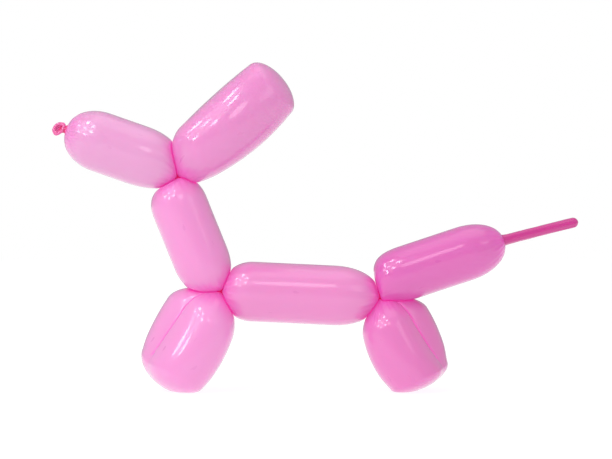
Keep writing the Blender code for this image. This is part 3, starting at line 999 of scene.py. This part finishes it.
# Each bubble's stretched colour has painted light and shade in it: paler on the bubbles that are lit more,
# deeper on those lit less.
STRETCHED_WITH_PAINTED_LIGHT = {
    "nose_bubble": (0.82, 0.36, 0.655),
    "ear_loop": (0.82, 0.27, 0.605),
    "neck_bubble": (0.90, 0.31, 0.67),
    "front_leg_loop": (0.97, 0.335, 0.71),
    "body_bubble": (0.87, 0.28, 0.62),
    "hind_leg_loop": (0.85, 0.215, 0.575),
    "tail_bubble": (0.78, 0.145, 0.52),
}
for name, stretched in STRETCHED_WITH_PAINTED_LIGHT.items():
    taut = latex("latex_" + name, stretched, DEEP_PINK, roughness=0.28, wrinkles=0.02, scatter=0.5)
    pieces[name].data.materials.append(taut)
wrung = latex("latex_wrung", (0.80, 0.02, 0.22), (0.74, 0.008, 0.15),
              roughness=0.3, wrinkles=2.0, scatter=0.3)
for name in ("head_twist", "front_twist", "rear_twist", "knot", "gathered_neck"):
    pieces[name].data.materials.append(wrung)
slack = latex("latex_slack", (0.57, 0.012, 0.26), (0.54, 0.010, 0.23),
              roughness=0.36, wrinkles=0.6, scatter=0.3)
pieces["tail_tip"].data.materials.append(slack)
mouth = latex("latex_mouth", (0.78, 0.18, 0.43), (0.62, 0.06, 0.24),
              roughness=0.3, wrinkles=2.0, scatter=0.3)
pieces["rolled_mouth"].data.materials.append(mouth)
print("materials:", len(bpy.data.materials))

# %% [markdown]
# ## Riding, and standing in for the plain model
#
# The dog is one solid with no joints, so every piece rides on the one body, and together they stand
# for the plain solid that the physics model keeps.

# %% What each piece rides on
for piece in pieces.values():
    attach(piece, "root")
    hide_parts("balloon_dog")
print(len(pieces), "pieces ride on the root body")

# %% [markdown]
# ## The floor
#
# The dog stands on a white table in a bright, white studio, and no edge of the table shows. The table
# gives off some light of its own, so that it stays white under the dog. The camera sees it a little
# brighter than the dog's underside does, because a full white below would wash the pink out there.

# %% The floor
FLOOR_GREY = 0.25
FLOOR_GLOW = (0.79, 0.86)


def white_floor():
    """A wide, bright table top."""
    bm = bmesh.new()
    bmesh.ops.create_grid(bm, x_segments=1, y_segments=1, size=6.0)
    mesh = bpy.data.meshes.new("floor")
    bm.to_mesh(mesh)
    bm.free()
    floor = bpy.data.objects.new("floor", mesh)
    bpy.context.scene.collection.objects.link(floor)
    material = bpy.data.materials.new("white_table")
    material.use_nodes = True
    shader = material.node_tree.nodes["Principled BSDF"]
    shader.inputs["Base Color"].default_value = (FLOOR_GREY, FLOOR_GREY, FLOOR_GREY, 1.0)
    shader.inputs["Roughness"].default_value = 0.9
    shader.inputs["Specular IOR Level"].default_value = 0.1
    shader.inputs["Emission Color"].default_value = (1.0, 1.0, 1.0, 1.0)
    nodes, links = material.node_tree.nodes, material.node_tree.links
    path = nodes.new("ShaderNodeLightPath")
    bright = nodes.new("ShaderNodeMapRange")
    bright.inputs["To Min"].default_value, bright.inputs["To Max"].default_value = FLOOR_GLOW
    links.new(path.outputs["Is Camera Ray"], bright.inputs["Value"])
    links.new(bright.outputs["Result"], shader.inputs["Emission Strength"])
    mesh.materials.append(material)


white_floor()
print("floor is in place")

# %% [markdown]
# ## The lights
#
# Up to the left is a cluster of seven small lamps, six in a ring and one in the middle. They are the
# small bright spots on each bubble, and a wide, weak lamp behind them gives the soft patch round the
# spots. A small lamp close above the dog, straight in front, draws the faint long lines along the
# tubes. A softer one to the right gives a second sheen, and a wide one overhead lights the upper sides.

# %% The lights
LOOK_AT = Vector((0.0, 0.0, 135.0 * MM))
KEY = Vector((-0.58, -0.49, 0.64)).normalized()
KEY_SIDE = KEY.cross(Vector((0, 0, 1))).normalized()
KEY_UP = KEY_SIDE.cross(KEY).normalized()
KEY_RING = 6
KEY_SPREAD = (0.34, 0.36)


def lamp(name, direction, distance, size, power):
    """A soft, round lamp that looks at the dog from that direction."""
    light = bpy.data.lights.new(name, "AREA")
    light.shape = "DISK"
    light.size = size
    light.energy = power
    holder = bpy.data.objects.new(name, light)
    direction = Vector(direction).normalized()
    holder.location = LOOK_AT + direction * distance
    holder.rotation_euler = direction.to_track_quat("Z", "Y").to_euler()
    bpy.context.scene.collection.objects.link(holder)


for number in range(KEY_RING):
    turn = 2.0 * pi * (number + 0.25) / KEY_RING
    swing = KEY_SIDE * cos(turn) * KEY_SPREAD[0] + KEY_UP * sin(turn) * KEY_SPREAD[1]
    lamp(f"key_{number}", KEY + swing, 1.3, 0.17, 0.62)
lamp("key_middle", KEY, 1.3, 0.17, 0.5)
lamp("key_haze", KEY, 1.35, 1.2, 2.1)
lamp("sheen", (0.0, -0.81, 0.54), 0.56, 0.15, 0.13)
lamp("side_sheen", (0.62, -0.62, 0.48), 1.5, 0.6, 0.7)
lamp("overhead", (0.1, -0.05, 1.0), 1.4, 1.2, 2.15)

# %% [markdown]
# ## The white surroundings
#
# The camera sees pure white behind the dog. A white room as bright as that all round would wash out the
# pink, so the light and the reflections come from a dimmer one, and it is dimmest behind the dog, which
# keeps the outlines of the bubbles crisp against the white.

# %% The white surroundings
ROOM_LIGHT = {"From Min": 0.2, "From Max": 1.0, "To Min": 0.60, "To Max": 0.42}


def white_world():
    """White to the camera, and a softer, even light to everything else."""
    world = bpy.data.worlds.new("studio")
    bpy.context.scene.world = world
    world.use_nodes = True
    nodes, links = world.node_tree.nodes, world.node_tree.links
    nodes.clear()
    out = nodes.new("ShaderNodeOutputWorld")
    seen = nodes.new("ShaderNodeBackground")
    lit = nodes.new("ShaderNodeBackground")
    seen.inputs["Color"].default_value = (1.0, 1.0, 1.0, 1.0)
    seen.inputs["Strength"].default_value = 1.0
    where = nodes.new("ShaderNodeTexCoord")
    parts = nodes.new("ShaderNodeSeparateXYZ")
    links.new(where.outputs["Generated"], parts.inputs["Vector"])
    behind = nodes.new("ShaderNodeMapRange")
    behind.interpolation_type = "SMOOTHSTEP"
    for label, number in ROOM_LIGHT.items():
        behind.inputs[label].default_value = number
    links.new(parts.outputs["Y"], behind.inputs["Value"])
    links.new(behind.outputs["Result"], lit.inputs["Strength"])
    lit.inputs["Color"].default_value = (1.0, 0.985, 1.0, 1.0)
    path = nodes.new("ShaderNodeLightPath")
    mix = nodes.new("ShaderNodeMixShader")
    links.new(path.outputs["Is Camera Ray"], mix.inputs["Fac"])
    links.new(lit.outputs["Background"], mix.inputs[1])
    links.new(seen.outputs["Background"], mix.inputs[2])
    links.new(mix.outputs["Shader"], out.inputs["Surface"])


white_world()
bpy.context.scene.view_settings.view_transform = "Standard"
print("the surroundings are white")

# %% [markdown]
# ## The camera
#
# It looks level at the dog from nearly a metre and a half, with a long lens. The lens follows from how
# many millimetres at the dog one pixel of the picture covers.

# %% The camera
FRAME_WIDTH = 612
PIXEL = 0.8333 * MM
DISTANCE = 1.42
EYE_HEIGHT = 134.6 * MM
EYE_SIDE = -7.5 * MM
SENSOR = 36.0
view = bpy.data.cameras.new("view")
view.sensor_width = SENSOR
view.lens = SENSOR * DISTANCE / (FRAME_WIDTH * PIXEL)
view.clip_start = 0.01
camera = bpy.data.objects.new("view", view)
camera.location = (EYE_SIDE, -DISTANCE, EYE_HEIGHT)
camera.rotation_euler = (pi / 2, 0.0, 0.0)
bpy.context.scene.collection.objects.link(camera)
bpy.context.scene.camera = camera
print("lens", round(view.lens, 1), "mm")
